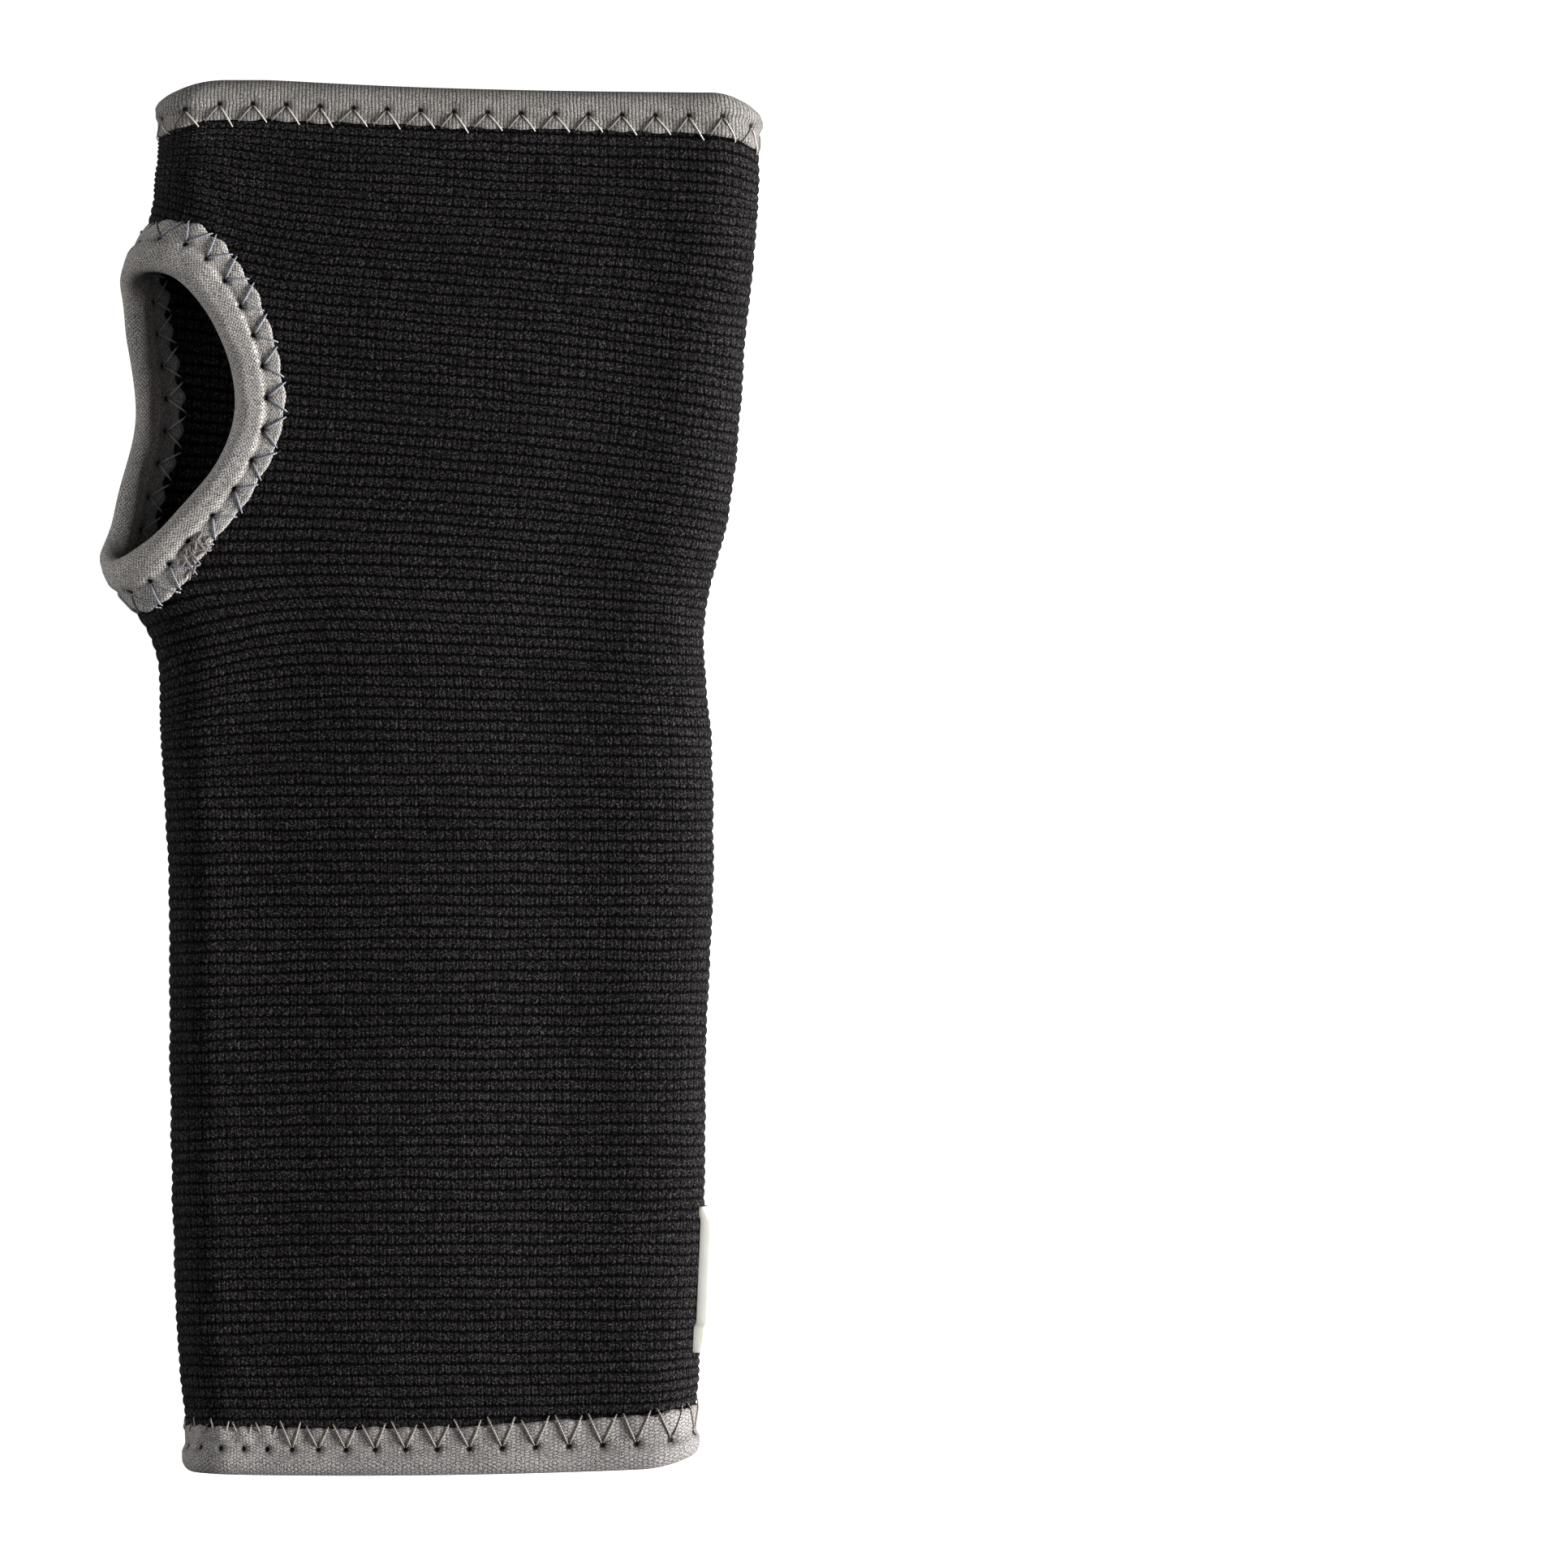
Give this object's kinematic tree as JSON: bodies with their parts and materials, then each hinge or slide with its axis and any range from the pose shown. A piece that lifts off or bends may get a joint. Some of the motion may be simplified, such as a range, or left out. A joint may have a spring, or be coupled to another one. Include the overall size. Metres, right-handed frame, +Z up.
{
  "type": "wrist support sleeve",
  "caption": "Pull-on ribbed knit wrist support sleeve lying flat: a tube open at hand and forearm, with a thumb hole, folded tape on every edge and a small plain side label.",
  "frame": {"origin": "middle of the sleeve's bounding box, on the surface that it lies on", "axes": "+Y along the sleeve to the fingers, -X to the thumb, +Z up from the surface"},
  "size_m": [0.099, 0.206, 0.0177],
  "materials": {
    "knit": "black ribbed elastic knit, matt",
    "binding": "warm grey woven tape, matt",
    "label": "off-white moulded rubber, satin"
  },
  "bodies": {
    "root": {"sleeve": "knit", "hand_binding": "binding", "thumb_binding": "binding", "forearm_binding": "binding", "label": "label"}
  },
  "joints": []
}
